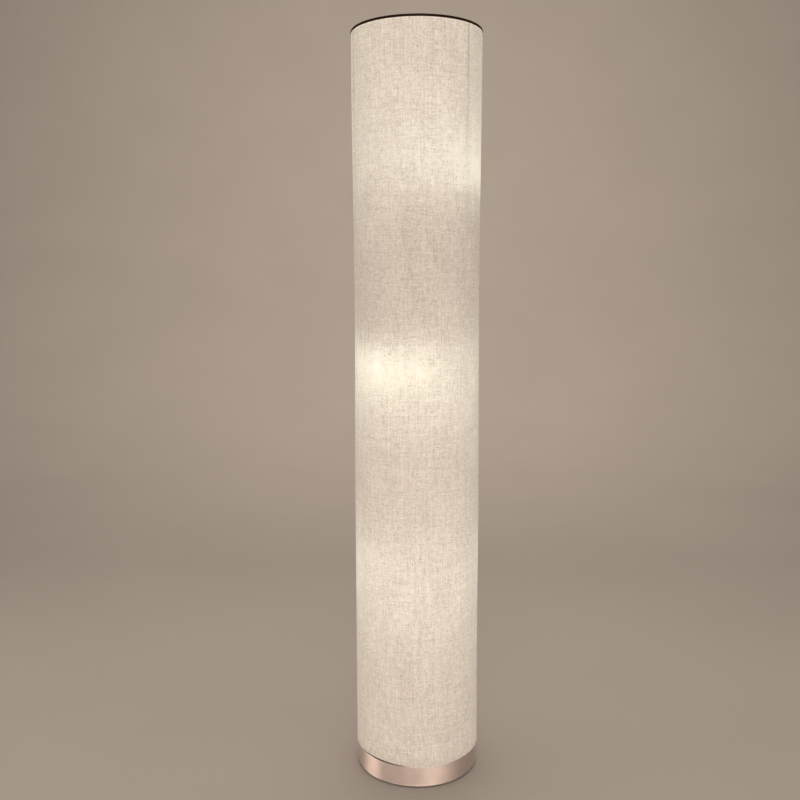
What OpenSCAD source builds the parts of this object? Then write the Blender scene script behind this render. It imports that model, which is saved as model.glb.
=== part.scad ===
// Column floor lamp: a tall cloth cylinder over a round metal base, lit by three bulbs on a central pole.
// Millimetres, +Z up. The origin is the centre of the base's underside, on the floor, and -Y is the front.
// An azimuth is counted in degrees from the front, towards +X.

/* [Overall] */
// Height of the whole lamp, from the floor to the top ring's upper face
lamp_h = 1025; // [900:5:1400]
// Outer diameter of the cloth shade
shade_d = 175; // [165:1:260]

/* [Shade] */
// Thickness of the cloth with its stiff backing
cloth_t = 1.2; // [0.6:0.1:2]
// How far the cloth draws in at the narrowest place of its waist
waist_in = 1.8; // [0:0.1:3]
// Height where the waist begins; it ends at the top ring
waist_from = 330; // [200:5:500]
// Thickness of the top ring's flange, the dark line round the top of the shade
flange_t = 3; // [2:0.5:5]
// How far that flange stands out past the cloth
flange_proud = 0.5; // [0:0.1:1]
// Thickness of the bottom ring's flange
foot_ring_t = 2; // [1:0.5:4]
// Height of the bottom ring's skirt, to which the hem is glued
foot_skirt_h = 10; // [5:1:20]
// Thickness of both rings' skirts
skirt_t = 1.9; // [1:0.1:3]
// Diameter of the three upright struts
strut_d = 3; // [2:0.5:5]
// Azimuth of the first strut
strut_azimuth = 49; // [0:1:119]
// Gap between the hem and the base's top
hem_gap = 1.2; // [0.5:0.1:3]

/* [Top fitting] */
// Depth of the spider's hub below the top of the lamp
hub_drop = 20; // [18:1:40]
// Diameter of the spider's hub
hub_d = 22; // [20:1:30]
// Thickness of the hub, and diameter of its three arms
arm_rod_d = 3; // [2:0.5:4]
// Diameter of the threaded stud that carries the shade
stud_d = 6; // [5:0.5:8]
// Diameter of the finial nut
finial_d = 18; // [14:1:20]
// Height of the finial nut
finial_h = 12; // [8:1:14]

/* [Base] */
// Height of the metal base cover
base_h = 28; // [26:1:60]
// How far the base stands in from the shade, all round
base_inset = 1.5; // [0.5:0.5:10]
// Sheet thickness of the base cover
cover_t = 1.2; // [0.8:0.1:2]
// Outer radius of the cover's top edge
shoulder_r = 1.5; // [1:0.5:6]
// Thickness of the bottom plate
plate_t = 1.5; // [1:0.5:3]
// Thickness of the foam pad that the lamp stands on
pad_t = 2; // [1:0.5:5]
// How far the pad's edge stands in from the base's edge
pad_inset = 6; // [3:1:20]
// Distance of the plate screws from the middle
plate_screw_reach = 62; // [40:1:65]

/* [Pole] */
// Outer diameter of the pole's tubes
pole_d = 16; // [15:0.1:20]
// Wall of the pole's tubes
pole_wall = 2; // [1.5:0.1:2.5]
// Wall of the threaded joiners that hold the tubes together
joiner_wall = 1.55; // [1.2:0.05:1.6]
// How deep a joiner goes into a tube
joiner_grip = 11; // [8:1:11]
// Diameter of the collar where the pole meets the base
collar_d = 32; // [22:1:60]
// Height of that collar
collar_h = 5; // [3:1:12]

/* [Arms] */
// Clear space between the pole and a bulb
bulb_gap = 4; // [2:0.5:8]
// Width of an arm where it holds the lampholder
arm_w = 18; // [16:1:24]
// Thickness of the arms' steel
arm_t = 2; // [1.5:0.5:3]
// Height of the lower arm's underside
lower_arm_z = 443; // [300:1:480]
// Height of the upper arms' underside
upper_arm_z = 711; // [660:1:720]
// Azimuth of the lower bulb
lower_azimuth = -157; // [-175:1:-140]
// Azimuth of the middle bulb
middle_azimuth = -37; // [-60:1:-20]
// Azimuth of the upper bulb
upper_azimuth = 83; // [60:1:100]

/* [Lampholder] */
// Outer diameter of the lampholders
holder_d = 40; // [38:1:44]
// Height of the lampholders
holder_h = 56; // [52:1:60]
// Height of the lampholder's cap
holder_cap_h = 22; // [20:1:24]
// Wall of the cap and the shell
holder_wall = 2; // [1.5:0.1:2.2]
// Diameter of the threaded nipple that holds a lampholder on its arm
nipple_d = 10; // [9:0.5:10]

/* [Bulb] */
// Largest diameter of a bulb
bulb_d = 60; // [50:1:64]
// Length of a bulb, from its contact to the top of its dome
bulb_len = 110; // [95:1:125]
// Crest diameter of the bulb cap's screw thread
cap_d = 26.3; // [26:0.1:26.5]
// Depth of that thread
thread_depth = 1; // [0.5:0.1:1.2]
// Pitch of that thread
thread_pitch = 3.6; // [3:0.1:4]
// Length of the threaded cap
cap_len = 22; // [18:1:24]
// How much narrower the dome is where it meets the housing, on each side
dome_mouth_in = 3; // [1:0.5:4]

/* [Leads] */
// Diameter of each inner lead
lead_d = 2.5; // [2:0.1:2.6]
// Radius of a lead's bends
lead_bend = 6; // [5:0.5:8]

/* [Cord entry] */
// Bore of the cord gland
gland_bore_d = 7; // [5:0.1:8]
// Diameter of the gland's threaded body
gland_d = 12; // [11:0.1:14.5]
// How far the gland stands out behind the base
gland_out = 8; // [4:1:15]
// How far the gland reaches inside the base
gland_in = 8; // [7:1:12]

/* [Hidden] */
$fn = 96;

// Clearances
slip_gap = 0.05;       // a thread or spigot in its hole
glue_gap = 0.1;        // the cloth on the rings' skirts
hole_gap = 0.2;        // a tube or nipple through a plate
rod_gap = 0.3;         // the struts behind the cloth
plate_gap = 0.3;       // the bottom plate inside the cover
thread_gap = 0.35;     // a bulb's cap in its thread sleeve
contact_gap = 0.3;     // a bulb's contact over the spring contact
lead_hole_gap = 1.35;  // a lead in the pole's side hole

// Base
base_r = shade_d / 2 - base_inset;
base_top = pad_t + base_h;
cover_in_r = base_r - cover_t;
plate_top = pad_t + plate_t;
cover_under = base_top - cover_t;
weight_r = cover_in_r - gland_in - 0.5;
recess_top = plate_top + 14;
washer_t = 1.5;
nut_h = 6;
nut_bottom = recess_top - washer_t - nut_h;
lead_floor = 2.5;      // a lead's axis over the bottom plate, where it runs to the terminal block
block_w = 24;
block_len = 20;
block_h = 12;
slot_w = block_w + 2;
slot_top = plate_top + 16;
screw_r = 2;
screw_head_r = 3.8;
screw_len = 10;
screw_azimuths = [0, 120, 240];
gland_nut_flats = gland_d + 5;
gland_z = plate_top + gland_nut_flats / 2 / cos(30) + 0.7;   // its nut clears the bottom plate

// Pole
tube_r = pole_d / 2;
tube_bore_r = tube_r - pole_wall;
joiner_r = tube_bore_r - slip_gap;
joiner_bore_r = joiner_r - joiner_wall;
pole_foot = base_top + collar_h;
nut_flats = 2 * joiner_r + 7.1;
washer_r = nut_flats / 2 + 4.5;
recess_r = washer_r + 2;
block_y = recess_r + 8;
hub_bottom = lamp_h - hub_drop;
stud_flange_t = 2;
pole_top = hub_bottom - stud_flange_t;
washer_hub_t = 1;
finial_bottom = hub_bottom + arm_rod_d + washer_hub_t;
stud_top = finial_bottom + finial_h - 3;

// Lampholders and bulbs, each counted from the face of its arm
nipple_r = nipple_d / 2;
nipple_bore_r = nipple_r - 1.8;
nipple_nut_h = 4;
nipple_in = 9;
nipple_out = arm_t + nipple_nut_h + 1;
holder_r = holder_d / 2;
holder_cap_in_r = holder_r - holder_wall;
holder_shell_in_r = holder_cap_in_r - 1.8;
spigot_h = 7;
insert_bottom = holder_cap_h - 10;
insert_top = holder_cap_h + 6;
contact_t = 1.7;
bulb_tip = insert_top + contact_t + contact_gap;
cap_start = bulb_tip + 5;
cap_end = cap_start + cap_len;
cap_crest_r = cap_d / 2;
cap_root_r = cap_crest_r - thread_depth;
bulb_r = bulb_d / 2;
bulb_top = bulb_tip + bulb_len;
dome_centre = bulb_top - bulb_r;
dome_mouth_r = bulb_r - dome_mouth_in;
dome_start = dome_centre - sqrt(bulb_r * bulb_r - dome_mouth_r * dome_mouth_r);
arm_reach = tube_r + bulb_gap + bulb_r;
dome_t = 1.2;
housing_t = 2;
led_plate_t = 1.6;

// Leads: where each stands side by side in the pole's bore
lead_r = lead_d / 2;
lead_tuck = 0.05;      // how far the run up the pole reaches into its bends, and how much thinner it is
lead_step = 2.6;
lead_rise = 15;        // from an arm's face to the lead's hole in the pole

// Shade
shade_r = shade_d / 2;
cloth_in_r = shade_r - cloth_t;
hem_z = base_top + hem_gap;
cloth_top = lamp_h - flange_t;
skirt_r = cloth_in_r - glue_gap;
skirt_in_r = skirt_r - skirt_t;
strut_reach = cloth_in_r - max(waist_in, skirt_t + glue_gap) - rod_gap - strut_d / 2;
ring_in_r = strut_reach - strut_d / 2;
top_skirt_bottom = hub_bottom - 1.5;
strut_azimuths = [for (i = [0:2]) strut_azimuth + 120 * i];
waist_steps = 14;

// Colours
rose_nickel = [0.80, 0.69, 0.64];
linen = [0.90, 0.86, 0.78];
ring_black = [0.10, 0.08, 0.07];
cast_grey = [0.30, 0.30, 0.31];
zinc = [0.72, 0.73, 0.74];
pole_white = [0.88, 0.87, 0.84];
bakelite = [0.12, 0.12, 0.12];
porcelain = [0.93, 0.92, 0.88];
brass = [0.80, 0.64, 0.32];
opal = [0.98, 0.95, 0.88];
lead_white = [0.85, 0.85, 0.82];
foam_black = [0.08, 0.08, 0.08];

// ---- Helpers ----

// Places the children at an azimuth and a distance from the lamp's axis.
module at_azimuth(azimuth, reach) {
    rotate([0, 0, azimuth])
        translate([0, -reach, 0])
            children();
}

module ring(r_out, r_in, z_from, z_to) {
    translate([0, 0, z_from])
        difference() {
            cylinder(r = r_out, h = z_to - z_from);
            translate([0, 0, -1])
                cylinder(r = r_in, h = z_to - z_from + 2);
        }
}

module hex_nut(flats, r_in, z_from, z_to) {
    translate([0, 0, z_from])
        difference() {
            cylinder(d = flats / cos(30), h = z_to - z_from, $fn = 6);
            translate([0, 0, -1])
                cylinder(r = r_in, h = z_to - z_from + 2);
        }
}

// Places what is modelled upwards from an arm's face: standing on the arm, or hanging under it.
module on_arm(azimuth, arm_z, stands) {
    at_azimuth(azimuth, arm_reach)
        translate([0, 0, stands ? arm_z + arm_t : arm_z])
            rotate([stands ? 0 : 180, 0, 0])
                children();
}

module on_lower_arm() {
    on_arm(lower_azimuth, lower_arm_z, false)
        children();
}

module on_middle_arm() {
    on_arm(middle_azimuth, upper_arm_z, false)
        children();
}

module on_upper_arm() {
    on_arm(upper_azimuth, upper_arm_z, true)
        children();
}

module on_each_arm() {
    on_lower_arm() children();
    on_middle_arm() children();
    on_upper_arm() children();
}

// ---- Base ----

module base_cover() {
    color(rose_nickel)
        difference() {
            rotate_extrude()
                difference() {
                    cover_outline(base_r, base_top, shoulder_r);
                    cover_outline(cover_in_r, cover_under, max(shoulder_r - cover_t, 0.3));
                }
            cylinder(r = joiner_r + hole_gap, h = 2 * base_top);
            gland_axis()
                cylinder(r = gland_d / 2 + hole_gap, h = 2 * gland_in, center = true);
        }
}

// Half of the cover's section, from its lower edge to a rounded top edge.
module cover_outline(r, top, edge_r) {
    translate([0, pad_t])
        square([r, top - pad_t - edge_r]);
    translate([0, top - edge_r - 0.01])
        square([r - edge_r, edge_r + 0.01]);
    translate([r - edge_r, top - edge_r])
        intersection() {
            circle(r = edge_r);
            square(edge_r);
        }
}

module base_weight() {
    color(cast_grey)
        difference() {
            ring(weight_r, joiner_r + hole_gap, plate_top, cover_under);
            translate([0, 0, plate_top - 1])
                cylinder(r = recess_r, h = recess_top - plate_top + 1);
            translate([-slot_w / 2, 0, plate_top - 1])
                cube([slot_w, weight_r + 1, slot_top - plate_top + 1]);
            plate_screw_holes(screw_r, screw_len + 1);
        }
}

module plate_screw_holes(r, depth) {
    for (azimuth = screw_azimuths)
        at_azimuth(azimuth, plate_screw_reach)
            translate([0, 0, pad_t - 1])
                cylinder(r = r, h = depth + 1);
}

module bottom_plate() {
    color(zinc)
        difference() {
            ring(cover_in_r - plate_gap, 0, pad_t, plate_top);
            plate_screw_holes(screw_r + hole_gap, plate_t + 1);
            for (azimuth = screw_azimuths)
                at_azimuth(azimuth, plate_screw_reach)
                    screw_head(slip_gap);
        }
}

// Countersunk head of a plate screw, as deep as the plate is thick.
module screw_head(gap) {
    translate([0, 0, pad_t])
        cylinder(r1 = screw_head_r + gap, r2 = screw_r + gap, h = plate_t);
}

module plate_screws() {
    color(zinc)
        for (azimuth = screw_azimuths)
            at_azimuth(azimuth, plate_screw_reach)
                difference() {
                    union() {
                        screw_head(0);
                        translate([0, 0, pad_t])
                            cylinder(r = screw_r - slip_gap, h = screw_len);
                    }
                    for (turn = [0, 90])
                        rotate([0, 0, turn])
                            translate([-2, -0.35, pad_t - 1])
                                cube([4, 0.7, 1.9]);
                }
}

module foot_pad() {
    color(foam_black)
        cylinder(r = base_r - pad_inset, h = pad_t);
}

// The threaded nipple that clamps the pole, the cover and the weight together.
module base_nipple() {
    color(zinc)
        ring(joiner_r, joiner_bore_r, nut_bottom - 0.5, pole_foot + joiner_grip);
}

module base_washer() {
    color(zinc)
        ring(washer_r, joiner_r + hole_gap, recess_top - washer_t, recess_top);
}

module base_nut() {
    color(zinc)
        hex_nut(nut_flats, joiner_r + slip_gap, nut_bottom, nut_bottom + nut_h);
}

module base_collar() {
    color(rose_nickel)
        rotate_extrude()
            polygon([
                [joiner_r + hole_gap, base_top],
                [collar_d / 2, base_top],
                [collar_d / 2, base_top + collar_h / 3],
                [tube_r + 1, base_top + collar_h],
                [joiner_r + hole_gap, base_top + collar_h]
            ]);
}

// ---- Cord entry and wiring in the base ----

// Puts the children's +Z along +Y, with z = 0 on the cover's rear face.
module gland_axis() {
    translate([0, base_r, gland_z])
        rotate([-90, 0, 0])
            children();
}

module cord_gland() {
    flange_r = gland_d / 2 + 2;
    flange_h = 2;
    nose_r = gland_bore_d / 2 + 1.2;
    color(bakelite)
        gland_axis()
            difference() {
                rotate_extrude()
                    polygon([
                        [0, -gland_in],
                        [gland_d / 2, -gland_in],
                        [gland_d / 2, 0],
                        [flange_r, 0],
                        [flange_r, flange_h],
                        [gland_d / 2 - 0.5, flange_h],
                        [nose_r, gland_out],
                        [0, gland_out]
                    ]);
                cylinder(d = gland_bore_d, h = 4 * (gland_in + gland_out), center = true);
            }
}

module gland_nut() {
    nut_out = 0.8;
    color(bakelite)
        gland_axis()
            hex_nut(gland_nut_flats, gland_d / 2 + slip_gap, -cover_t - nut_out - 4, -cover_t - nut_out);
}

module terminal_block() {
    color(pole_white)
        difference() {
            translate([-block_w / 2, block_y, plate_top])
                cube([block_w, block_len, block_h]);
            for (i = [-1:1])
                terminal_bore(i, insert_r + slip_gap);
        }
}

insert_r = 2.4;
insert_pitch = 7.4;

module terminal_bore(i, r) {
    translate([i * insert_pitch, block_y - 1, plate_top + block_h / 2])
        rotate([-90, 0, 0])
            cylinder(r = r, h = block_len + 2);
}

// Three brass tubes, each with its two clamping screws' holes.
module terminal_inserts() {
    color(brass)
        for (i = [-1:1])
            difference() {
                translate([i * insert_pitch, block_y + 1, plate_top + block_h / 2])
                    rotate([-90, 0, 0])
                        cylinder(r = insert_r, h = block_len - 2);
                terminal_bore(i, 1.5);
            }
}

// ---- Pole ----

module pole_tube(z_from, z_to) {
    color(pole_white)
        difference() {
            ring(tube_r, tube_bore_r, z_from, z_to);
            lead_holes();
        }
}

module pole_lower() {
    pole_tube(pole_foot, lower_arm_z);
}

module pole_middle() {
    pole_tube(lower_arm_z + arm_t, upper_arm_z);
}

module pole_upper() {
    pole_tube(upper_arm_z + arm_t, pole_top);
}

// The two threaded joiners, each through a bracket and into the tubes above and below it.
module pole_joiners() {
    color(zinc)
        for (z = [lower_arm_z, upper_arm_z])
            ring(joiner_r, joiner_bore_r, z - joiner_grip, z + arm_t + joiner_grip);
}

// A flat arm from the pole to a lampholder.
module arm_outline(azimuth) {
    circle(r = tube_r + 3);
    at_azimuth(azimuth, arm_reach)
        circle(d = arm_w);
    rotate([0, 0, azimuth])
        translate([-arm_w / 2, -arm_reach])
            square([arm_w, arm_reach]);
}

module bracket(arm_z, azimuths) {
    color(zinc)
        translate([0, 0, arm_z])
            linear_extrude(height = arm_t)
                difference() {
                    for (azimuth = azimuths)
                        arm_outline(azimuth);
                    circle(r = joiner_r + hole_gap);
                    for (azimuth = azimuths)
                        at_azimuth(azimuth, arm_reach)
                            circle(r = nipple_r + hole_gap);
                }
}

module lower_bracket() {
    bracket(lower_arm_z, [lower_azimuth]);
}

module upper_bracket() {
    bracket(upper_arm_z, [middle_azimuth, upper_azimuth]);
}

// ---- Lampholders ----

module holder_nipples() {
    color(zinc)
        on_each_arm()
            ring(nipple_r, nipple_bore_r, -nipple_out, nipple_in);
}

module holder_nuts() {
    color(zinc)
        on_each_arm()
            hex_nut(nipple_d + 4, nipple_r + slip_gap, -arm_t - nipple_nut_h, -arm_t);
}

// A cup with a rounded edge, and a boss inside for the nipple.
module holder_cap() {
    edge_r = 4;
    floor_t = 3;
    boss_r = nipple_r + 3;
    color(bakelite)
        rotate_extrude()
            difference() {
                union() {
                    translate([0, edge_r])
                        square([holder_r, holder_cap_h - edge_r]);
                    square([holder_r - edge_r, edge_r]);
                    translate([holder_r - edge_r, edge_r])
                        intersection() {
                            circle(r = edge_r);
                            translate([0, -edge_r])
                                square(edge_r);
                        }
                }
                translate([boss_r, floor_t])
                    square([holder_cap_in_r - 2 - boss_r, holder_cap_h]);
                translate([boss_r, edge_r])
                    square([holder_cap_in_r - boss_r, holder_cap_h]);
                translate([0, nipple_in])
                    square([holder_cap_in_r, holder_cap_h]);
                translate([0, -1])
                    square([nipple_r + slip_gap, holder_cap_h]);
            }
}

module holder_shell() {
    spigot_r = holder_cap_in_r - hole_gap;
    color(bakelite)
        rotate_extrude()
            polygon([
                [holder_shell_in_r, holder_cap_h - spigot_h],
                [spigot_r, holder_cap_h - spigot_h],
                [spigot_r, holder_cap_h],
                [holder_r, holder_cap_h],
                [holder_r - 1.4, holder_h - 1],
                [holder_r - 2.4, holder_h],
                [holder_shell_in_r, holder_h]
            ]);
}

module holder_insert() {
    r = holder_shell_in_r - hole_gap;
    color(porcelain)
        difference() {
            translate([0, 0, insert_bottom])
                cylinder(r = r, h = insert_top - insert_bottom);
            for (side = [-1, 1])
                translate([side * 9, 0, insert_bottom - 1])
                    cylinder(r = 2, h = insert_top - insert_bottom + 2);
        }
}

module centre_contacts() {
    color(brass)
        on_each_arm()
            translate([0, 0, insert_top])
                cylinder(r = 4, h = contact_t);
}

// Points of a thread's rings: root and crest in turn, up the axis.
function thread_points(root, crest, z_from, count) = [
    for (i = [0:2 * count])
        [i % 2 == 0 ? root : crest, z_from + i * thread_pitch / 2]
];

module thread_sleeve() {
    r = holder_shell_in_r - 0.6;
    ring_count = floor((holder_h - 1 - cap_start) / thread_pitch);
    z_to = cap_start + ring_count * thread_pitch;
    color(brass)
        rotate_extrude()
            polygon(concat(
                [[r, z_to], [r, insert_top], [cap_crest_r + thread_gap, insert_top],
                 [cap_crest_r + thread_gap, cap_start - 1], [cap_root_r + thread_gap, cap_start - 0.2]],
                thread_points(cap_root_r + thread_gap, cap_crest_r + thread_gap, cap_start, ring_count)
            ));
}

// ---- Bulbs ----

module bulb_cap() {
    shell_t = 0.8;
    in_r = cap_root_r - shell_t;
    ring_count = floor((cap_len - 0.2) / thread_pitch);
    color(zinc)
        rotate_extrude()
            difference() {
                polygon(concat(
                    [[0, bulb_tip], [4.5, bulb_tip], [4.5, bulb_tip + 1.5], [7, bulb_tip + 1.8]],
                    [[cap_root_r, cap_start - 0.5]],
                    thread_points(cap_root_r, cap_crest_r, cap_start, ring_count),
                    [[cap_root_r, cap_end], [0, cap_end]]
                ));
                translate([0, cap_start + 1])
                    square([in_r, cap_len]);
            }
}

housing_steps = 8;
housing_foot_r = cap_crest_r + 0.7;

// Points up the housing's flank, which curves out from the cap to the dome.
function housing_points(inset) = [
    for (i = [0:housing_steps])
        let (t = i / housing_steps)
        [housing_foot_r - inset + (dome_mouth_r - housing_foot_r) * (1 - cos(180 * t)) / 2,
         cap_end + t * (dome_start - cap_end)]
];

module bulb_housing() {
    inner = housing_points(housing_t);
    color(porcelain)
        rotate_extrude()
            polygon(concat(
                housing_points(0),
                [for (i = [housing_steps:-1:0]) inner[i]]
            ));
}

module bulb_led_plate() {
    color(zinc)
        translate([0, 0, dome_start - led_plate_t - 0.2])
            cylinder(r = dome_mouth_r - housing_t - 0.4, h = led_plate_t);
}

module bulb_dome() {
    color(opal)
        translate([0, 0, dome_centre])
            difference() {
                sphere(r = bulb_r);
                sphere(r = bulb_r - dome_t);
                translate([0, 0, dome_start - dome_centre - bulb_d])
                    cylinder(r = bulb_d, h = bulb_d);
            }
}

// ---- Leads ----

lower_lead_x = -lead_step;
middle_lead_x = 0;
upper_lead_x = lead_step;
lower_lead_z = lower_arm_z + arm_t + lead_rise;
middle_lead_z = upper_arm_z + arm_t + lead_rise;
upper_lead_z = upper_arm_z - lead_rise;

function bulb_point(azimuth) = [arm_reach * sin(azimuth), -arm_reach * cos(azimuth)];

// Turns +X from the lead's place in the bore towards the bulb's axis.
module towards_bulb(x, azimuth) {
    to = bulb_point(azimuth) - [x, 0];
    translate([x, 0, 0])
        rotate([0, 0, atan2(to.y, to.x)])
            children();
}

module lead_holes() {
    hole_r = lead_r + lead_hole_gap;
    towards_bulb(lower_lead_x, lower_azimuth)
        lead_hole(lower_lead_z, hole_r);
    towards_bulb(middle_lead_x, middle_azimuth)
        lead_hole(middle_lead_z, hole_r);
    towards_bulb(upper_lead_x, upper_azimuth)
        lead_hole(upper_lead_z, hole_r);
}

module lead_hole(z, r) {
    translate([2, 0, z])
        rotate([0, 90, 0])
            cylinder(r = r, h = 2 * tube_r);
}

// A quarter bend in the XZ plane, from +X to +Z about the origin.
module quarter_bend(r) {
    rotate([90, 0, 0])
        rotate_extrude(angle = 90)
            translate([r, 0])
                circle(r = lead_r, $fn = 32);
}

module lead_run(length, r = lead_r) {
    cylinder(r = r, h = length, $fn = 32);
}

// One lead: from the terminal block, up the pole's bore, out of its side hole and into the lampholder.
// turn is 1 where it bends down into a hanging lampholder and -1 where it bends up into a standing one.
module lead(x, azimuth, exit_z, arm_face, turn) {
    floor_bend = 4;
    floor_z = plate_top + lead_floor;
    span = norm(bulb_point(azimuth) - [x, 0]);
    end_z = arm_face - turn * insert_bottom;
    drop = abs(exit_z - end_z) - lead_bend;
    color(lead_white) {
        translate([x, floor_bend, floor_z])
            rotate([-90, 0, 0])
                lead_run(block_y - floor_bend);
        translate([x, floor_bend, floor_z + floor_bend])
            rotate([0, 0, -90])
                mirror([0, 0, 1])
                    quarter_bend(floor_bend);
        translate([x, 0, floor_z + floor_bend - lead_tuck])
            lead_run(exit_z - lead_bend - floor_z - floor_bend + 2 * lead_tuck, lead_r - lead_tuck);
        towards_bulb(x, azimuth) {
            translate([lead_bend, 0, exit_z - lead_bend])
                mirror([1, 0, 0])
                    quarter_bend(lead_bend);
            translate([lead_bend, 0, exit_z])
                rotate([0, 90, 0])
                    lead_run(span - 2 * lead_bend);
            translate([span - lead_bend, 0, exit_z - turn * lead_bend])
                mirror([0, 0, turn > 0 ? 0 : 1])
                    quarter_bend(lead_bend);
            translate([span, 0, turn > 0 ? end_z : exit_z + lead_bend])
                lead_run(drop);
        }
    }
}

module lower_lead() {
    lead(lower_lead_x, lower_azimuth, lower_lead_z, lower_arm_z, 1);
}

module middle_lead() {
    lead(middle_lead_x, middle_azimuth, middle_lead_z, upper_arm_z, 1);
}

module upper_lead() {
    lead(upper_lead_x, upper_azimuth, upper_lead_z, upper_arm_z + arm_t, -1);
}

// ---- Shade and its top fitting ----

// Screws into the pole's top; its flange carries the spider's hub.
module shade_stud() {
    color(zinc)
        union() {
            translate([0, 0, pole_top - joiner_grip])
                cylinder(r = joiner_r, h = joiner_grip);
            translate([0, 0, pole_top])
                cylinder(r = tube_r + 0.5, h = stud_flange_t);
            translate([0, 0, hub_bottom])
                cylinder(d = stud_d, h = stud_top - hub_bottom);
        }
}

// Radius of the cloth's outer face at a height: straight below, with a slight waist above.
function cloth_r(z) =
    z <= waist_from ? shade_r
    : shade_r - waist_in * pow(sin(180 * (z - waist_from) / (cloth_top - waist_from)), 2);

module shade_cloth() {
    heights = concat(
        [hem_z],
        [for (i = [0:waist_steps]) waist_from + i * (cloth_top - waist_from) / waist_steps]
    );
    last = len(heights) - 1;
    color(linen)
        rotate_extrude($fn = 144)
            polygon(concat(
                [for (z = heights) [cloth_r(z), z]],
                [for (i = [last:-1:0]) [cloth_r(heights[i]) - cloth_t, heights[i]]]
            ));
}

module top_ring() {
    color(ring_black)
        union() {
            ring(shade_r + flange_proud, ring_in_r, cloth_top, lamp_h);
            ring(skirt_r, skirt_in_r, top_skirt_bottom, cloth_top);
        }
}

module bottom_ring() {
    color(ring_black)
        union() {
            ring(skirt_r, ring_in_r, hem_z, hem_z + foot_ring_t);
            ring(skirt_r, skirt_in_r, hem_z + foot_ring_t, hem_z + foot_ring_t + foot_skirt_h);
        }
}

module shade_struts() {
    color(ring_black)
        for (azimuth = strut_azimuths)
            at_azimuth(azimuth, strut_reach)
                translate([0, 0, hem_z + foot_ring_t])
                    cylinder(d = strut_d, h = cloth_top - hem_z - foot_ring_t);
}

// Hub and three arms that hang the shade on the stud; the arms stand between the struts.
module spider() {
    color(ring_black)
        difference() {
            union() {
                translate([0, 0, hub_bottom])
                    cylinder(d = hub_d, h = arm_rod_d);
                for (azimuth = strut_azimuths)
                    rotate([0, 0, azimuth + 60])
                        translate([0, -hub_d / 2 + 1, hub_bottom + arm_rod_d / 2])
                            rotate([90, 0, 0])
                                cylinder(d = arm_rod_d, h = skirt_in_r - hub_d / 2 + 1 - slip_gap);
            }
            cylinder(d = stud_d + 2 * hole_gap, h = 2 * lamp_h);
        }
}

module hub_washer() {
    color(zinc)
        ring(finial_d / 2 - 1, stud_d / 2 + hole_gap, hub_bottom + arm_rod_d, finial_bottom);
}

// A fluted nut with a domed top, on the stud.
module finial() {
    flutes = 24;
    crown_h = 2.5;
    bore_depth = finial_h - 2;
    color(brass)
        difference() {
            rotate_extrude()
                polygon([
                    [stud_d / 2 + 2 * slip_gap, finial_bottom],
                    [finial_d / 2, finial_bottom],
                    [finial_d / 2, finial_bottom + finial_h - crown_h],
                    [finial_d / 2 - 1.5, finial_bottom + finial_h - 0.6],
                    [finial_d / 2 - 4, finial_bottom + finial_h],
                    [0, finial_bottom + finial_h],
                    [0, finial_bottom + bore_depth],
                    [stud_d / 2 + 2 * slip_gap, finial_bottom + bore_depth]
                ]);
            for (i = [0:flutes - 1])
                at_azimuth(i * 360 / flutes, finial_d / 2 + 0.3)
                    translate([0, 0, finial_bottom + 1.5])
                        cylinder(r = 0.7, h = finial_h, $fn = 16);
        }
}

// ---- The lampholders and bulbs by name ----

module lower_holder_cap() { on_lower_arm() holder_cap(); }
module lower_holder_shell() { on_lower_arm() holder_shell(); }
module lower_holder_insert() { on_lower_arm() holder_insert(); }
module lower_thread_sleeve() { on_lower_arm() thread_sleeve(); }
module lower_bulb_cap() { on_lower_arm() bulb_cap(); }
module lower_bulb_housing() { on_lower_arm() bulb_housing(); }
module lower_bulb_led_plate() { on_lower_arm() bulb_led_plate(); }
module lower_bulb_dome() { on_lower_arm() bulb_dome(); }
module middle_holder_cap() { on_middle_arm() holder_cap(); }
module middle_holder_shell() { on_middle_arm() holder_shell(); }
module middle_holder_insert() { on_middle_arm() holder_insert(); }
module middle_thread_sleeve() { on_middle_arm() thread_sleeve(); }
module middle_bulb_cap() { on_middle_arm() bulb_cap(); }
module middle_bulb_housing() { on_middle_arm() bulb_housing(); }
module middle_bulb_led_plate() { on_middle_arm() bulb_led_plate(); }
module middle_bulb_dome() { on_middle_arm() bulb_dome(); }
module upper_holder_cap() { on_upper_arm() holder_cap(); }
module upper_holder_shell() { on_upper_arm() holder_shell(); }
module upper_holder_insert() { on_upper_arm() holder_insert(); }
module upper_thread_sleeve() { on_upper_arm() thread_sleeve(); }
module upper_bulb_cap() { on_upper_arm() bulb_cap(); }
module upper_bulb_housing() { on_upper_arm() bulb_housing(); }
module upper_bulb_led_plate() { on_upper_arm() bulb_led_plate(); }
module upper_bulb_dome() { on_upper_arm() bulb_dome(); }

base_cover();
base_weight();
bottom_plate();
plate_screws();
foot_pad();
base_nipple();
base_washer();
base_nut();
base_collar();
cord_gland();
gland_nut();
terminal_block();
terminal_inserts();
pole_lower();
pole_middle();
pole_upper();
pole_joiners();
lower_bracket();
upper_bracket();
holder_nipples();
holder_nuts();
centre_contacts();
lower_holder_cap();
lower_holder_shell();
lower_holder_insert();
lower_thread_sleeve();
middle_holder_cap();
middle_holder_shell();
middle_holder_insert();
middle_thread_sleeve();
upper_holder_cap();
upper_holder_shell();
upper_holder_insert();
upper_thread_sleeve();
lower_lead();
middle_lead();
upper_lead();
lower_bulb_cap();
lower_bulb_housing();
lower_bulb_led_plate();
lower_bulb_dome();
middle_bulb_cap();
middle_bulb_housing();
middle_bulb_led_plate();
middle_bulb_dome();
upper_bulb_cap();
upper_bulb_housing();
upper_bulb_led_plate();
upper_bulb_dome();
shade_stud();
shade_cloth();
top_ring();
bottom_ring();
shade_struts();
spider();
hub_washer();
finial();
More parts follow.
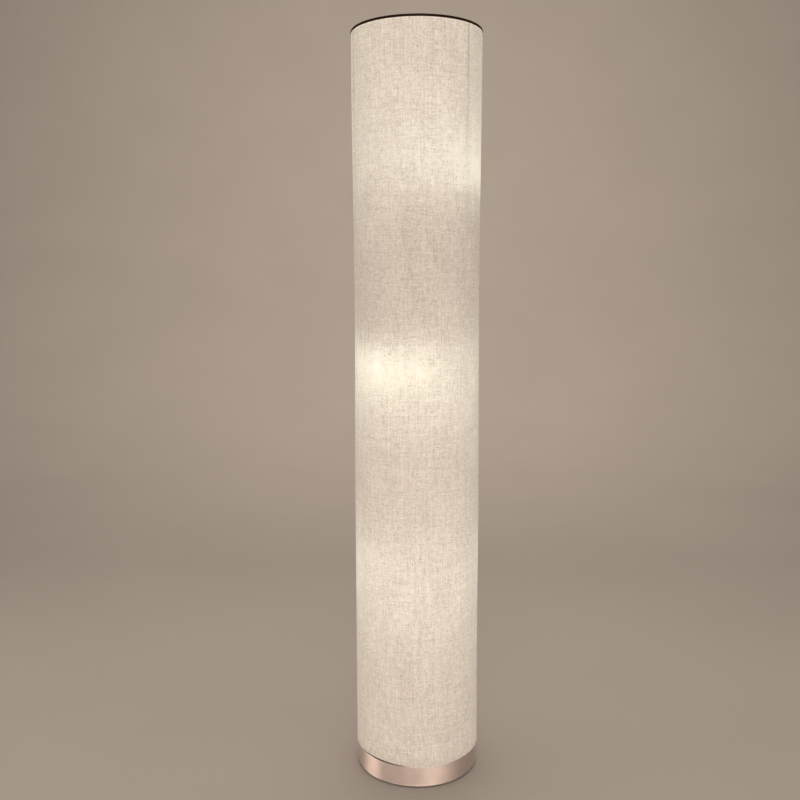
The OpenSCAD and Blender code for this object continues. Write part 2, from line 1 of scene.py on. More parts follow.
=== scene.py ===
"""The looks of a column floor lamp, built round its CAD frame. Metres, +Z up; -Y is the lamp's front."""

import math

import bmesh
import bpy
from mathutils import Matrix, Vector


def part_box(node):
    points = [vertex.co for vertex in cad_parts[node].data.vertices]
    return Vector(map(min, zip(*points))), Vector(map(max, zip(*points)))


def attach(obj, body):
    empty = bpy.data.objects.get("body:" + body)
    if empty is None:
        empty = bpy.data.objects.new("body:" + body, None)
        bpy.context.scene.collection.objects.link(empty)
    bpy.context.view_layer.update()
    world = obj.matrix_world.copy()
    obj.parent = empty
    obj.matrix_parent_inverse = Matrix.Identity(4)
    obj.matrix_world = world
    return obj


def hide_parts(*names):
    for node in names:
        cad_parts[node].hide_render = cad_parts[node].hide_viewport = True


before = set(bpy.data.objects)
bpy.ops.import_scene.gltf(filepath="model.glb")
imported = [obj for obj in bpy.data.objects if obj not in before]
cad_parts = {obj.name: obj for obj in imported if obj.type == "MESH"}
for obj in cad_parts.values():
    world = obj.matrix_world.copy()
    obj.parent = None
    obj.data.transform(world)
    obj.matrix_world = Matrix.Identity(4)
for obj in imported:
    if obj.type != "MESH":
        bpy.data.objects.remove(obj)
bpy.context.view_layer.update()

MM = 0.001
SHARP_EDGE = 35                # degrees between two faces, from which their edge is shown sharp


def size_of(node):
    """Outer radius, lowest and highest Z of a CAD node that is round about the lamp's axis."""
    low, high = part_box(node)
    return high.x, low.z, high.z


# ---- Camera ----

IMAGE_SIDE_PX = 800
FOCAL_PX = 900                 # focal length, in pixels of that image
SENSOR_MM = 36
CAMERA_PLACE = Vector((0.0, -1.253, 0.698))
CAMERA_PITCH = -7.58           # degrees; below the horizon
CAMERA_YAW = -1.08             # degrees; towards -X
CAMERA_ROLL = -0.17            # degrees


def add_camera():
    data = bpy.data.cameras.new("camera")
    data.sensor_width = SENSOR_MM
    data.lens = SENSOR_MM * FOCAL_PX / IMAGE_SIDE_PX
    camera = bpy.data.objects.new("camera", data)
    bpy.context.scene.collection.objects.link(camera)
    upright = Matrix.Rotation(math.radians(90 + CAMERA_PITCH), 4, "X")
    turn = Matrix.Rotation(math.radians(-CAMERA_YAW), 4, "Z")
    roll = Matrix.Rotation(math.radians(CAMERA_ROLL), 4, "Z")
    camera.matrix_world = Matrix.Translation(CAMERA_PLACE) @ turn @ upright @ roll
    bpy.context.scene.camera = camera


# ---- Node graphs ----


class Graph:
    """One procedural material, built by short calls. Each call returns the new node's output socket."""

    def __init__(self, name, **plain):
        self.material = bpy.data.materials.new(name)
        self.material.use_nodes = True
        self.tree = self.material.node_tree
        self.bsdf = self.tree.nodes["Principled BSDF"]
        for socket, value in plain.items():
            self.put(self.bsdf.inputs[socket.replace("_", " ")], value)

    def put(self, socket, value):
        if isinstance(value, bpy.types.NodeSocket):
            self.tree.links.new(value, socket)
        else:
            socket.default_value = value

    def set(self, socket, value):
        self.put(self.bsdf.inputs[socket], value)

    def node(self, kind, *values, **settings):
        made = self.tree.nodes.new(kind)
        for key, value in settings.items():
            setattr(made, key, value)
        for socket, value in zip(made.inputs, values):
            self.put(socket, value)
        return made

    def math(self, operation, a, b=0.0):
        return self.node("ShaderNodeMath", a, b, operation=operation).outputs[0]

    def vector(self, operation, a, b=(0.0, 0.0, 0.0)):
        made = self.node("ShaderNodeVectorMath", a, b, operation=operation)
        scalar = operation in ("DOT_PRODUCT", "LENGTH")
        return made.outputs["Value" if scalar else "Vector"]

    def ramp(self, value, start, end, low=0.0, high=1.0, smooth=True):
        """value from start..end becomes low..high, and stays within them."""
        made = self.node("ShaderNodeMapRange", interpolation_type="SMOOTHSTEP" if smooth else "LINEAR")
        for socket, given in zip(made.inputs, (value, start, end, low, high)):
            self.put(socket, given)
        return made.outputs[0]

    def mix(self, share, a, b):
        made = self.node("ShaderNodeMix", data_type="RGBA")
        self.put(made.inputs[0], share)
        self.put(made.inputs[6], a)
        self.put(made.inputs[7], b)
        return made.outputs[2]

    def place(self):
        """Where a point lies on the piece at rest, in metres."""
        return self.node("ShaderNodeTexCoord").outputs["Object"]

    def world(self):
        """Where a point lies in the room, in metres."""
        return self.node("ShaderNodeNewGeometry").outputs["Position"]

    def parts(self, vector):
        return self.node("ShaderNodeSeparateXYZ", vector).outputs

    def noise(self, place, grain, detail=2.0, rough=0.5):
        """Noise whose grain is that size, in metres: one number, or one each along X, Y and Z."""
        if not hasattr(grain, "__len__"):
            grain = (grain,) * 3
        scaled = self.vector("MULTIPLY", place, tuple(1 / g for g in grain))
        made = self.node("ShaderNodeTexNoise")
        self.put(made.inputs["Vector"], scaled)
        self.put(made.inputs["Scale"], 1.0)
        self.put(made.inputs["Detail"], detail)
        self.put(made.inputs["Roughness"], rough)
        return made.outputs[0]

    def bump(self, height, depth):
        """Bends the shading by a height from 0 to 1 over that depth, in metres."""
        made = self.node("ShaderNodeBump")
        self.put(made.inputs["Strength"], 1.0)
        self.put(made.inputs["Distance"], depth)
        self.put(made.inputs["Height"], height)
        self.set("Normal", made.outputs[0])


def rgb(red, green, blue):
    return (red, green, blue, 1.0)


# ---- The lamp's sizes, from the frame ----

SHADE_R, HEM_Z, CLOTH_TOP = size_of("shade_cloth")
RING_R, _, LAMP_TOP = size_of("top_ring")
BASE_R, BASE_FOOT, BASE_TOP = size_of("base_cover")
CLOTH_T = 1.2 * MM
WAIST_IN = 1.8 * MM            # how far the cloth draws in, half-way up its waist
WAIST_FROM = 330 * MM          # height where the waist starts
GLAND_Z = sum(corner.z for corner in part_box("cord_gland")) / 2      # its height in the base's rear wall
GLAND_HOLE_R = 6.2 * MM
STRUT_AZIMUTHS = (49, 169, 289)     # degrees from the front towards +X
STRUT_FADE_Z = 760 * MM        # height where a strut's shadow starts to show
STRUT_SPREAD_Z = 800 * MM      # height where it is widest
STRUT_WIDTHS = (1.3 * MM, 6 * MM)   # its width at the top and at that height
STRUT_DEPTHS = (0.02, 0.26)    # share of light that it takes away, low down and at the top
SEAM_AZIMUTH = 180
SEAM_HALF_WIDTH = 7.5 * MM
SEAM_PROUD = 0.5 * MM          # how far the second layer stands out
SEAM_SOFT = 0.6 * MM           # and how far its edge rises to that, on each side
WOBBLE_HELD = 80 * MM          # the rings hold the cloth true up to this far from them
SEAM_DIMS = 0.16               # share of light that the second layer keeps in


def cloth_radius(z):
    """The cloth's outer radius at a height: straight below, with a slight waist above."""
    if z <= WAIST_FROM:
        return SHADE_R
    return SHADE_R - WAIST_IN * math.sin(math.pi * (z - WAIST_FROM) / (CLOTH_TOP - WAIST_FROM)) ** 2


# ---- Linen ----

YARN = 0.8 * MM                # from one yarn to the next
EDGE_LINE = 1.4 * MM           # height of the brighter cut edge at the hem and at the top
EDGE_GLOW = 0.45               # how much brighter that edge is
# The yarns' uneven thickness: the grain along X, Y and Z, and how much it changes the light
# that comes through.
THREADS = [
    ((1.5 * MM, 1.5 * MM, 60 * MM), 0.085),     # upright yarns
    ((1.3 * MM, 1.3 * MM, 9 * MM), 0.14),       # and their thick places
    ((50 * MM, 50 * MM, 1.6 * MM), 0.06),       # level yarns
    ((8 * MM, 8 * MM, 1.2 * MM), 0.14),         # and their thick places
    ((1.8 * MM, 1.8 * MM, 1.8 * MM), 0.13),     # fuzz
    ((30 * MM, 30 * MM, 60 * MM), 0.05),        # cloudiness
]
LINEN_PALE = rgb(0.60, 0.58, 0.58)
LINEN_DEEP = rgb(0.35, 0.315, 0.285)
RING_SKIRT = 16 * MM           # the bottom ring's skirt, behind the cloth, dims it up to here
RING_DIMS = 0.6                # to this share
SLUB_DIMS = 0.13               # how much a thick knot in a yarn takes away
FLECK_DIMS = 0.28              # and how much a dark fleck does
WEAVE_SHARE = 0.3              # share of the weave in the height that bends the shading
WEAVE_DEPTH = 0.25 * MM
GLOW_AIR = (0.185, 0.165, 0.132)    # light from inside, where no bulb is near
AIR_TOP_FROM = 800 * MM        # from this height up, that light grows
AIR_TOP = 1.6                  # to this many times as much at the lamp's top
GLOW_BULB = (0.97, 1.0, 0.79)       # light of a near bulb

# How each of the three equal bulbs lights the cloth, and which way it faces: -1 hangs and 1 stands.
BULBS = {"lower_bulb_dome": -1, "middle_bulb_dome": -1, "upper_bulb_dome": 1}
BULB_GAIN = 0.6                # the most light that it gives
BULB_HALF = 1.1                # the level at which it gives half of that
BULB_SPREAD = (-1.0, 0.5)      # the cosine, from the way that it faces, where its light starts and is full
BULB_RIM = 0.15                # the share that its housing's rim cuts off
RIM_SOFT = 5 * MM


def bulb_light(g, place, outward, node, faces):
    """The light of one bulb on the cloth, from the place of its dome."""
    low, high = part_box(node)
    centre_z = low.z + (high.x - low.x) / 2 if faces < 0 else high.z - (high.x - low.x) / 2
    rim_z = high.z if faces < 0 else low.z
    away = g.vector("SUBTRACT", place, ((low.x + high.x) / 2, (low.y + high.y) / 2, centre_z))
    distance = g.vector("LENGTH", away)
    slant = g.math("DIVIDE", g.vector("DOT_PRODUCT", away, outward), distance)
    near = g.math("POWER", g.math("DIVIDE", SHADE_R, distance), 2.0)
    level = g.math("MULTIPLY", g.math("MAXIMUM", slant, 0.0), near)
    soft_level = g.math("DIVIDE", level, g.math("ADD", level, BULB_HALF))
    along = g.math("DIVIDE", g.vector("DOT_PRODUCT", away, (0.0, 0.0, float(faces))), distance)
    spread_share = g.ramp(along, *BULB_SPREAD)
    height = g.parts(place)[2]
    past_rim = g.ramp(height, rim_z - faces * RIM_SOFT / 2, rim_z + faces * RIM_SOFT / 2, 1 - BULB_RIM, 1.0)
    lit = g.math("MULTIPLY", g.math("MULTIPLY", soft_level, BULB_GAIN), spread_share)
    return g.math("MULTIPLY", lit, past_rim)


def strut_shadows(g, place):
    """Share of light left by the upright struts' shadows: crisp lines at the top that spread and fade."""
    z = g.parts(place)[2]
    left = None
    for azimuth in STRUT_AZIMUTHS:
        a = math.radians(azimuth)
        across = g.vector("DOT_PRODUCT", place, (math.cos(a), math.sin(a), 0.0))
        facing = g.vector("DOT_PRODUCT", place, (math.sin(a), -math.cos(a), 0.0))
        width = g.ramp(z, CLOTH_TOP, STRUT_SPREAD_Z, *STRUT_WIDTHS, smooth=False)
        depth = g.ramp(z, STRUT_FADE_Z, CLOTH_TOP, *STRUT_DEPTHS)
        off = g.math("POWER", g.math("DIVIDE", across, width), 2.0)
        line = g.math("EXPONENT", g.math("MULTIPLY", off, -1.0))
        side = g.math("GREATER_THAN", facing, 0.0)
        dark = g.math("MULTIPLY", g.math("MULTIPLY", line, depth), side)
        kept = g.math("SUBTRACT", 1.0, dark)
        left = kept if left is None else g.math("MULTIPLY", left, kept)
    return left


def seam_shadow(g, place):
    """Share of light left by the two layers of cloth where the sleeve's ends lap."""
    x, y = g.parts(place)[:2]
    off = g.math("ABSOLUTE", x)
    lapped = g.ramp(off, SEAM_HALF_WIDTH - 0.5 * MM, SEAM_HALF_WIDTH + 0.3 * MM, SEAM_DIMS, 0.0)
    return g.math("SUBTRACT", 1.0, g.math("MULTIPLY", lapped, g.math("GREATER_THAN", y, 0.0)))


def linen():
    g = Graph("linen", Roughness=0.85)
    g.bsdf.inputs["Specular IOR Level"].default_value = 0.25
    g.bsdf.inputs["Sheen Weight"].default_value = 0.15
    g.bsdf.inputs["Sheen Roughness"].default_value = 0.5
    place = g.place()
    threads = None
    for grain, strength in THREADS:
        one = g.ramp(g.noise(place, grain), 0.25, 0.75, -strength, strength, smooth=False)
        threads = one if threads is None else g.math("ADD", threads, one)
    slub = g.ramp(g.noise(place, (8 * MM, 8 * MM, 1.5 * MM), detail=1), 0.66, 0.76)
    fleck = g.ramp(g.noise(place, (2.6 * MM, 2.6 * MM, 1.6 * MM), detail=0), 0.76, 0.84)
    marks = g.math("ADD", g.math("MULTIPLY", slub, -SLUB_DIMS), g.math("MULTIPLY", fleck, -FLECK_DIMS))
    # How thin the cloth is: 1 on average, more where it lets more light through.
    texture = g.math("ADD", g.math("ADD", threads, marks), 1.0)
    # Painted shadows: the struts' and the lap seam's shadows darken the cloth's own colour here, and its glow
    # further on.
    shadows = g.math("MULTIPLY", strut_shadows(g, place), seam_shadow(g, place))
    colour = g.mix(g.ramp(texture, 0.65, 1.2, smooth=False), LINEN_DEEP, LINEN_PALE)
    painted_shadow_colour = g.vector("SCALE", colour)
    g.put(painted_shadow_colour.node.inputs["Scale"], shadows)
    g.set("Base Color", painted_shadow_colour)

    room = g.world()
    flat = g.vector("MULTIPLY", room, (1.0, 1.0, 0.0))
    outward = g.vector("NORMALIZE", flat)
    bulbs = None
    for node, faces in BULBS.items():
        one = bulb_light(g, room, outward, node, faces)
        bulbs = one if bulbs is None else g.math("ADD", bulbs, one)
    height = g.parts(room)[2]
    air = g.math("MULTIPLY", g.ramp(height, AIR_TOP_FROM, LAMP_TOP, 1.0, AIR_TOP),
                 g.ramp(height, HEM_Z, HEM_Z + RING_SKIRT, RING_DIMS, 1.0))
    cut_edge = g.node("ShaderNodeAttribute", attribute_name="edge").outputs["Fac"]
    through = g.math("MULTIPLY", g.math("MULTIPLY", texture, shadows),
                     g.math("ADD", 1.0, g.math("MULTIPLY", cut_edge, EDGE_GLOW)))
    air_part = g.vector("SCALE", GLOW_AIR)
    g.put(air_part.node.inputs["Scale"], air)
    bulb_part = g.vector("SCALE", GLOW_BULB)
    g.put(bulb_part.node.inputs["Scale"], bulbs)
    both = g.vector("ADD", air_part, bulb_part)
    shown = g.vector("SCALE", both)
    g.put(shown.node.inputs["Scale"], through)
    g.set("Emission Color", shown)
    g.set("Emission Strength", 1.0)

    angle = g.math("ARCTAN2", g.parts(place)[0], g.parts(place)[1])
    yarns_round = round(2 * math.pi * SHADE_R / YARN / 2)
    over = g.math("SINE", g.math("MULTIPLY", angle, float(yarns_round)))
    under = g.math("SINE", g.math("MULTIPLY", g.parts(place)[2], math.pi / YARN))
    weave = g.math("MULTIPLY", g.math("MULTIPLY", over, under), WEAVE_SHARE)
    g.bump(g.math("ADD", weave, texture), WEAVE_DEPTH)
    return g.material


# ---- Metal, plastic and the rest ----


def brushed(name, colour, roughness, streak=0.5 * MM, depth=0.008 * MM):
    """Satin metal brushed round the lamp's axis, which smears what it mirrors up and down."""
    g = Graph(name, Metallic=0.9, Anisotropic=0.8, Anisotropic_Rotation=0.25)
    place = g.place()
    lines = g.noise(place, (30 * MM, 30 * MM, streak), detail=3)
    tone = g.noise(place, 25 * MM, detail=2)
    shade = g.mix(g.ramp(tone, 0.3, 0.7), colour, rgb(*(c * 0.93 for c in colour[:3])))
    g.set("Base Color", shade)
    g.set("Roughness", g.ramp(lines, 0.2, 0.8, roughness * 0.9, roughness * 1.1, smooth=False))
    g.set("Tangent", g.node("ShaderNodeTangent", direction_type="RADIAL", axis="Z").outputs[0])
    g.bump(lines, depth)
    return g.material


def painted(name, colour, roughness, grain=0.6 * MM, depth=0.02 * MM, worn=0.9, specular=0.5):
    """Paint or powder coat: a fine orange peel and a slightly uneven tone."""
    g = Graph(name)
    g.bsdf.inputs["Specular IOR Level"].default_value = specular
    place = g.place()
    peel = g.noise(place, grain, detail=2)
    tone = g.noise(place, 20 * MM, detail=3)
    g.set("Base Color", g.mix(g.ramp(tone, 0.3, 0.7), colour, rgb(*(c * worn for c in colour[:3]))))
    g.set("Roughness", g.ramp(tone, 0.2, 0.8, roughness * 0.9, roughness * 1.1))
    g.bump(peel, depth)
    return g.material


def moulded(name, colour, roughness, grain=0.25 * MM, depth=0.01 * MM):
    """Moulded plastic: fine spark-eroded grain."""
    g = Graph(name)
    place = g.place()
    skin = g.noise(place, grain, detail=2)
    flow = g.noise(place, (6 * MM, 6 * MM, 18 * MM), detail=2)
    g.set("Base Color", g.mix(g.ramp(flow, 0.3, 0.7), colour, rgb(*(c * 0.94 for c in colour[:3]))))
    g.set("Roughness", g.ramp(skin, 0.3, 0.7, roughness * 0.9, roughness * 1.1))
    g.bump(skin, depth)
    return g.material


def cast_iron():
    g = Graph("cast_iron", Metallic=0.6)
    place = g.place()
    sand = g.noise(place, 0.9 * MM, detail=4, rough=0.65)
    tone = g.noise(place, 12 * MM, detail=3)
    g.set("Base Color", g.mix(g.ramp(tone, 0.3, 0.7), rgb(0.10, 0.10, 0.105), rgb(0.06, 0.055, 0.05)))
    g.set("Roughness", g.ramp(sand, 0.3, 0.7, 0.55, 0.8))
    g.bump(sand, 0.25 * MM)
    return g.material


def foam():
    g = Graph("black_foam", Roughness=0.95)
    place = g.place()
    cells = g.node("ShaderNodeTexVoronoi")
    g.put(cells.inputs["Vector"], g.vector("MULTIPLY", place, (1400.0,) * 3))
    g.put(cells.inputs["Scale"], 1.0)
    open_cells = g.ramp(cells.outputs[0], 0.1, 0.6)
    g.set("Base Color", g.mix(open_cells, rgb(0.008, 0.008, 0.008), rgb(0.03, 0.03, 0.03)))
    g.bump(open_cells, 0.2 * MM)
    return g.material


def opal_dome():
    """The bulbs' lit domes, their colour and light a little uneven in swirls."""
    g = Graph("opal_dome", Roughness=0.35)
    place = g.place()
    swirl = g.noise(place, 14 * MM, detail=2)
    g.set("Base Color", g.mix(g.ramp(swirl, 0.3, 0.7), rgb(0.92, 0.89, 0.83), rgb(0.86, 0.83, 0.76)))
    g.set("Emission Color", g.mix(g.ramp(swirl, 0.3, 0.7), rgb(1.0, 0.86, 0.66), rgb(1.0, 0.83, 0.61)))
    g.set("Emission Strength", 3.0)
    return g.material


def porcelain():
    g = Graph("porcelain", Roughness=0.12)
    g.bsdf.inputs["Coat Weight"].default_value = 0.6
    g.bsdf.inputs["Coat Roughness"].default_value = 0.08
    place = g.place()
    tone = g.noise(place, 6 * MM, detail=3)
    g.set("Base Color", g.mix(g.ramp(tone, 0.3, 0.7), rgb(0.82, 0.81, 0.77), rgb(0.76, 0.75, 0.70)))
    g.bump(g.noise(place, 3 * MM), 0.03 * MM)
    return g.material


def turned_metal(name, colour, roughness):
    """Turned or plated metal: clean, with faint tool marks and handling haze."""
    g = Graph(name, Metallic=1.0)
    place = g.place()
    marks = g.noise(place, (8 * MM, 8 * MM, 0.3 * MM), detail=2)
    haze = g.noise(place, 5 * MM, detail=3)
    g.set("Base Color", g.mix(g.ramp(haze, 0.3, 0.75), colour, rgb(*(c * 0.85 for c in colour[:3]))))
    g.set("Roughness", g.ramp(haze, 0.25, 0.75, roughness * 0.8, roughness * 1.3))
    g.bump(marks, 0.01 * MM)
    return g.material


SLOTS = {
    "linen": linen(),
    "rose_nickel": brushed("rose_nickel", rgb(0.81, 0.71, 0.675), 0.46),
    "black_ring": painted("black_ring", rgb(0.017, 0.006, 0.0015), 0.5, specular=0.15),
    "cast_iron": cast_iron(),
    "zinc_steel": turned_metal("zinc_steel", rgb(0.62, 0.64, 0.66), 0.32),
    "white_paint": painted("white_paint", rgb(0.78, 0.76, 0.71), 0.42, depth=0.03 * MM),
    "black_foam": foam(),
    "black_plastic": moulded("black_plastic", rgb(0.018, 0.018, 0.019), 0.45),
    "white_plastic": moulded("white_plastic", rgb(0.76, 0.75, 0.70), 0.42),
    "porcelain": porcelain(),
    "brass": turned_metal("brass", rgb(0.80, 0.58, 0.25), 0.26),
    "nickel_cap": turned_metal("nickel_cap", rgb(0.68, 0.66, 0.62), 0.22),
    "bulb_white": moulded("bulb_white", rgb(0.80, 0.79, 0.76), 0.24, depth=0.004 * MM),
    "led_plate": turned_metal("led_plate", rgb(0.80, 0.80, 0.80), 0.40),
    "opal_dome": opal_dome(),
    "lead_sheath": moulded("lead_sheath", rgb(0.70, 0.70, 0.66), 0.35),
}


def finish_cad_nodes():
    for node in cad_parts.values():
        for slot in node.material_slots:
            slot.material = SLOTS[slot.material.name.split(".")[0]]


# ---- Modelled pieces ----


def rounded(corners, steps=6):
    """A closed outline with round corners, from (r, z, corner radius) in turn. Returns its (r, z) points."""
    points = []
    count = len(corners)
    for i, (r, z, radius) in enumerate(corners):
        here = Vector((r, z))
        before = (Vector(corners[i - 1][:2]) - here).normalized()
        after = (Vector(corners[(i + 1) % count][:2]) - here).normalized()
        if radius == 0:
            points.append((r, z))
            continue
        half = before.angle(after) / 2
        start = here + before * radius / math.tan(half)
        end = here + after * radius / math.tan(half)
        centre = here + (before + after).normalized() * radius / math.sin(half)
        for k in range(steps + 1):
            step = start.lerp(end, k / steps) - centre
            point = centre + step.normalized() * radius
            points.append((point.x, point.y))
    return points


def make_mesh(name, vertices, faces, slot, body, smooth_angle=SHARP_EDGE):
    mesh = bpy.data.meshes.new(name)
    mesh.from_pydata(vertices, [], faces)
    shape = bmesh.new()
    shape.from_mesh(mesh)
    bmesh.ops.recalc_face_normals(shape, faces=shape.faces)
    shape.to_mesh(mesh)
    shape.free()
    mesh.shade_smooth()
    mesh.set_sharp_from_angle(angle=math.radians(smooth_angle))
    piece = bpy.data.objects.new(name, mesh)
    bpy.context.scene.collection.objects.link(piece)
    mesh.materials.append(SLOTS[slot])
    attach(piece, body)
    return piece


def turned(outline, angle):
    """The vertices of an outline of (r, z) points, turned from the front towards +X."""
    return [(r * math.sin(angle), -r * math.cos(angle), z) for r, z in outline]


def ring_faces(turns, count):
    """The faces between closed outlines of that many points that stand side by side all round."""
    faces = []
    for i in range(turns):
        here, there = i * count, (i + 1) % turns * count
        for j in range(count):
            k = (j + 1) % count
            faces.append((here + j, there + j, there + k, here + k))
    return faces


def lathe(name, outline, slot, body, turns=192):
    """A closed outline of (r, z) points turned about the lamp's axis."""
    vertices = []
    for i in range(turns):
        vertices += turned(outline, 2 * math.pi * i / turns)
    return make_mesh(name, vertices, ring_faces(turns, len(outline)), slot, body)


HEM_RISE = (2.1 * MM, -42, 26)  # the uncut hem: how far it rises, at which azimuth, and how wide
HEM_SAG = (2.0 * MM, 10, 17)    # and the same for where it hangs a little lower, over the base's edge
HEM_TURN = 0.25 * MM            # how much thicker the turned hem is, on each side
HEM_TURN_ENDS = (4.0 * MM, 6.0 * MM)    # where its thickness starts to go, and is gone, above the hem
EDGE_DARK = -1 / EDGE_GLOW      # mark of cloth that lets no light out


def smooth_share(value, start, end):
    t = min(1.0, max(0.0, (value - start) / (end - start)))
    return t * t * (3 - 2 * t)


def hill(azimuth, height, centre, width):
    return height * math.exp(-(((azimuth - centre + 180) % 360 - 180) / width) ** 2)


def hem_height(azimuth):
    """The hem's lower edge, which isn't cut quite level."""
    return HEM_Z + hill(azimuth, *HEM_RISE) - hill(azimuth, *HEM_SAG)


def wobble(azimuth, z):
    """How far the stiff cloth wanders in and out."""
    a = math.radians(azimuth)
    held = min(1.0, (z - HEM_Z) / WOBBLE_HELD, (CLOTH_TOP - z) / WOBBLE_HELD)
    slow = 0.22 * math.sin(2 * a + 5 * z + 0.6) + 0.14 * math.sin(3 * a - 9 * z + 2.0)
    return max(0.0, held) * (slow + 0.08 * math.sin(5 * a + 17 * z)) * MM


def turned_hem(z, hem):
    """How much the turned hem adds to the cloth's radius on one side."""
    return HEM_TURN * (1 - smooth_share(z - hem, *HEM_TURN_ENDS))


def edge_mark(z, hem, outside):
    """1 on the cut edges' outside, EDGE_DARK on their glued inside and ends, and 0 away from the edges."""
    if min(z - hem, CLOTH_TOP - z) >= EDGE_LINE * 1.01:
        return 0.0
    return 1.0 if outside else EDGE_DARK


def sleeve():
    """The cloth: one closed skin, glued round both rings, with its lap seam at the back and a turned hem."""
    around, rows = 192, 100
    edge_steps = 4
    edge_r = CLOTH_T / 2
    edge_rows = [EDGE_LINE, EDGE_LINE + 0.5 * MM, 4 * MM, 6 * MM]
    vertices, edge_marks = [], []
    for i in range(around):
        azimuth = 360 * i / around
        hem = hem_height(azimuth)
        seam_off = abs((azimuth - SEAM_AZIMUTH + 180) % 360 - 180) / 180 * math.pi * SHADE_R
        lap_share = 1 - smooth_share(seam_off, SEAM_HALF_WIDTH - SEAM_SOFT, SEAM_HALF_WIDTH + SEAM_SOFT)
        low, high = hem + edge_r, CLOTH_TOP - edge_r
        heights = [low] + [hem + d for d in edge_rows]
        heights += [hem + 8 * MM + (CLOTH_TOP - hem - 16 * MM) * j / rows for j in range(rows + 1)]
        heights += [CLOTH_TOP - d for d in reversed(edge_rows)] + [high]
        column = []
        for z in heights:
            radius = cloth_radius(z) + SEAM_PROUD * lap_share + turned_hem(z, hem) + wobble(azimuth, z)
            column.append((radius, z))
        outside = len(column)
        top_r, top_z = column[-1]
        for k in range(1, edge_steps):
            b = math.pi * k / edge_steps
            column.append((top_r - edge_r + edge_r * math.cos(b), top_z + edge_r * math.sin(b)))
        for j in range(outside - 1, -1, -1):
            r, z = column[j]
            column.append((r - CLOTH_T - turned_hem(z, hem), z))
        foot_r, foot_z = column[0]
        for k in range(1, edge_steps):
            b = math.pi * k / edge_steps
            column.append((foot_r - CLOTH_T + edge_r - edge_r * math.cos(b), foot_z - edge_r * math.sin(b)))
        vertices += turned(column, math.radians(azimuth))
        edge_marks += [edge_mark(z, hem, k < outside) for k, (_, z) in enumerate(column)]
    faces = ring_faces(around, len(column))
    piece = make_mesh("linen_sleeve", vertices, faces, "linen", "shade", smooth_angle=80)
    edge = piece.data.attributes.new("edge", "FLOAT", "POINT")
    edge.data.foreach_set("value", edge_marks)
    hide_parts("shade_cloth")
    return piece


def drill(piece, height, radius):
    """Cuts a round hole through a piece's wall at the back, for what passes through it there."""
    bpy.ops.mesh.primitive_cylinder_add(
        vertices=64, radius=radius, depth=20 * MM, location=(0, BASE_R, height), rotation=(math.pi / 2, 0, 0))
    cutter = bpy.context.object
    cut = piece.modifiers.new("hole", "BOOLEAN")
    cut.object, cut.operation, cut.solver = cutter, "DIFFERENCE", "EXACT"
    bpy.context.view_layer.update()
    whole = piece.data
    piece.data = bpy.data.meshes.new_from_object(piece.evaluated_get(bpy.context.evaluated_depsgraph_get()))
    piece.modifiers.clear()
    bpy.data.objects.remove(cutter)
    bpy.data.meshes.remove(whole)
    piece.data.set_sharp_from_angle(angle=math.radians(SHARP_EDGE))


def base_shell():
    """The pressed metal cover of the base, with a rolled lip at its foot."""
    sheet = 1.2 * MM
    shoulder = 1.5 * MM
    lip = 0.7 * MM
    hole_r = 5.3 * MM
    outline = rounded([
        (hole_r, BASE_TOP, 0.2 * MM),
        (BASE_R, BASE_TOP, shoulder),
        (BASE_R, BASE_FOOT + 2.2 * lip, 0.8 * lip),
        (BASE_R + lip, BASE_FOOT + 1.6 * lip, 0.5 * lip),
        (BASE_R + lip, BASE_FOOT, 0.6 * lip),
        (BASE_R - sheet, BASE_FOOT, 0.2 * MM),
        (BASE_R - sheet, BASE_TOP - sheet, shoulder - sheet),
        (hole_r, BASE_TOP - sheet, 0.2 * MM),
    ])
    piece = lathe("base_shell", outline, "rose_nickel", "stand", turns=256)
    drill(piece, GLAND_Z, GLAND_HOLE_R)
    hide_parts("base_cover")
    return piece


def top_trim():
    """The shade's black top ring, with the soft edges of painted metal."""
    low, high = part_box("top_ring")
    skirt_r = SHADE_R - CLOTH_T - 0.1 * MM
    skirt_t = 1.9 * MM
    inner_r = skirt_r - skirt_t - 3.3 * MM
    outline = rounded([
        (inner_r, LAMP_TOP, 0.5 * MM),
        (RING_R, LAMP_TOP, 0.9 * MM),
        (RING_R, CLOTH_TOP + 0.02 * MM, 0.4 * MM),
        (skirt_r, CLOTH_TOP + 0.02 * MM, 0),
        (skirt_r, low.z, 0.3 * MM),
        (skirt_r - skirt_t, low.z, 0.3 * MM),
        (skirt_r - skirt_t, CLOTH_TOP + 0.02 * MM, 0.2 * MM),
        (inner_r, CLOTH_TOP + 0.02 * MM, 0.4 * MM),
    ])
    piece = lathe("top_trim", outline, "black_ring", "shade")
    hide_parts("top_ring")
    return piece


# ---- Studio ----

FLOOR_TONE = rgb(0.40, 0.389, 0.374)
CYC_R = 4.2
CYC_BEND = 2.2
CYC_H = 3.6


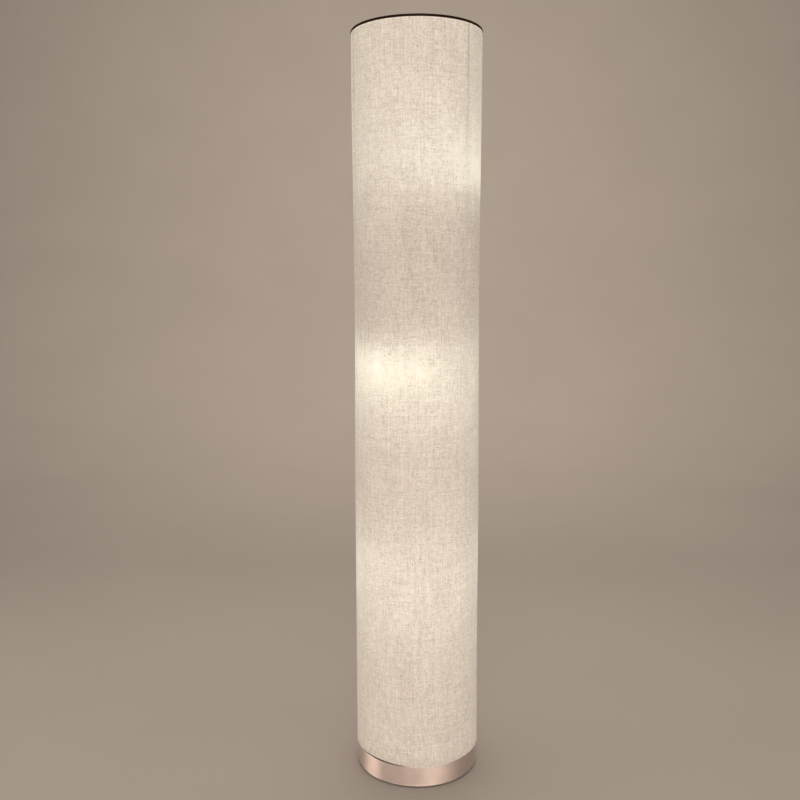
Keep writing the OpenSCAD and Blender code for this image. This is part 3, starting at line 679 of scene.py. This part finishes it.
def studio_floor():
    """A pale floor that bends up into a plain backdrop all round."""
    outline = [(0.0, 0.0), (CYC_R - CYC_BEND, 0.0)]
    bend_steps = 16
    for k in range(1, bend_steps + 1):
        b = math.pi / 2 * k / bend_steps
        outline.append((CYC_R - CYC_BEND + CYC_BEND * math.sin(b), CYC_BEND * (1 - math.cos(b))))
    outline.append((CYC_R, CYC_H))
    turns = 96
    vertices = [(0.0, 0.0, 0.0)]
    for i in range(turns):
        a = 2 * math.pi * i / turns
        vertices += turned(outline[1:], a)
    count = len(outline) - 1
    faces = []
    for i in range(turns):
        here, there = 1 + i * count, 1 + (i + 1) % turns * count
        faces.append((0, here, there))
        for j in range(count - 1):
            faces.append((here + j, here + j + 1, there + j + 1, there + j))
    mesh = bpy.data.meshes.new("studio_floor")
    mesh.from_pydata(vertices, [], faces)
    mesh.shade_smooth()
    floor = bpy.data.objects.new("studio_floor", mesh)
    bpy.context.scene.collection.objects.link(floor)
    g = Graph("studio_floor", Roughness=0.8)
    tone = g.noise(g.place(), 0.35, detail=3)
    g.set("Base Color", g.mix(g.ramp(tone, 0.3, 0.7), FLOOR_TONE, rgb(*(c * 0.97 for c in FLOOR_TONE[:3]))))
    mesh.materials.append(g.material)


def softbox(name, azimuth, distance, height, size, power, colour, aim_z=0.45, spread=180):
    data = bpy.data.lights.new(name, "AREA")
    data.shape = "RECTANGLE"
    data.size, data.size_y = size
    data.energy = power
    data.color = colour
    data.spread = math.radians(spread)
    a = math.radians(azimuth)
    light = bpy.data.objects.new(name, data)
    light.location = (distance * math.sin(a), -distance * math.cos(a), height)
    aim = Vector((0, 0, aim_z)) - light.location
    light.rotation_mode = "QUATERNION"
    light.rotation_quaternion = aim.to_track_quat("-Z", "Y")
    light.visible_camera = False
    bpy.context.scene.collection.objects.link(light)
    return light


WALL_LIGHTS = {180: 44, 60: 18, 300: 18, 0: 17}     # watts of the light on each stretch of the backdrop
GRID = 100                     # degrees; the low softboxes' grids keep their light off the floor beside them
LIGHT_TONE = (1.0, 0.83, 0.70)
WORLD_TONE = rgb(1.0, 0.85, 0.73)
WORLD_STRENGTH = 0.245


def studio_light():
    softbox("top_light", 180, 0.25, 2.7, (1.7, 1.3), 32, LIGHT_TONE)
    softbox("front_light", 0, 2.3, 1.15, (1.3, 0.8), 15, LIGHT_TONE, aim_z=0.6)
    softbox("key_light", 30, 2.0, 0.30, (1.5, 0.4), 4.2, LIGHT_TONE, aim_z=0.10, spread=GRID)
    softbox("fill_light", -34, 2.0, 0.30, (2.2, 0.4), 2.0, LIGHT_TONE, aim_z=0.10, spread=GRID)
    softbox("left_light", -86, 2.0, 0.22, (1.1, 0.32), 3.5, LIGHT_TONE, aim_z=0.1, spread=GRID)
    softbox("right_light", 64, 2.0, 0.30, (0.7, 0.4), 0.6, LIGHT_TONE, aim_z=0.10, spread=GRID)
    softbox("back_light", 180, 2.0, 2.2, (1.8, 1.4), 10, LIGHT_TONE)
    for azimuth, power in WALL_LIGHTS.items():
        a = math.radians(azimuth)
        wall = softbox(f"wall_light_{azimuth}", azimuth, 1.7, 2.3, (1.4, 0.8), power, LIGHT_TONE)
        wall.rotation_quaternion = Vector((math.sin(a), -math.cos(a), -0.35)).to_track_quat("-Z", "Y")
    world = bpy.data.worlds.new("studio_world")
    world.use_nodes = True
    back = world.node_tree.nodes["Background"]
    back.inputs["Color"].default_value = WORLD_TONE
    back.inputs["Strength"].default_value = WORLD_STRENGTH
    bpy.context.scene.world = world


add_camera()
finish_cad_nodes()
sleeve()
base_shell()
top_trim()
studio_floor()
studio_light()
bpy.context.scene.view_settings.view_transform = "Standard"
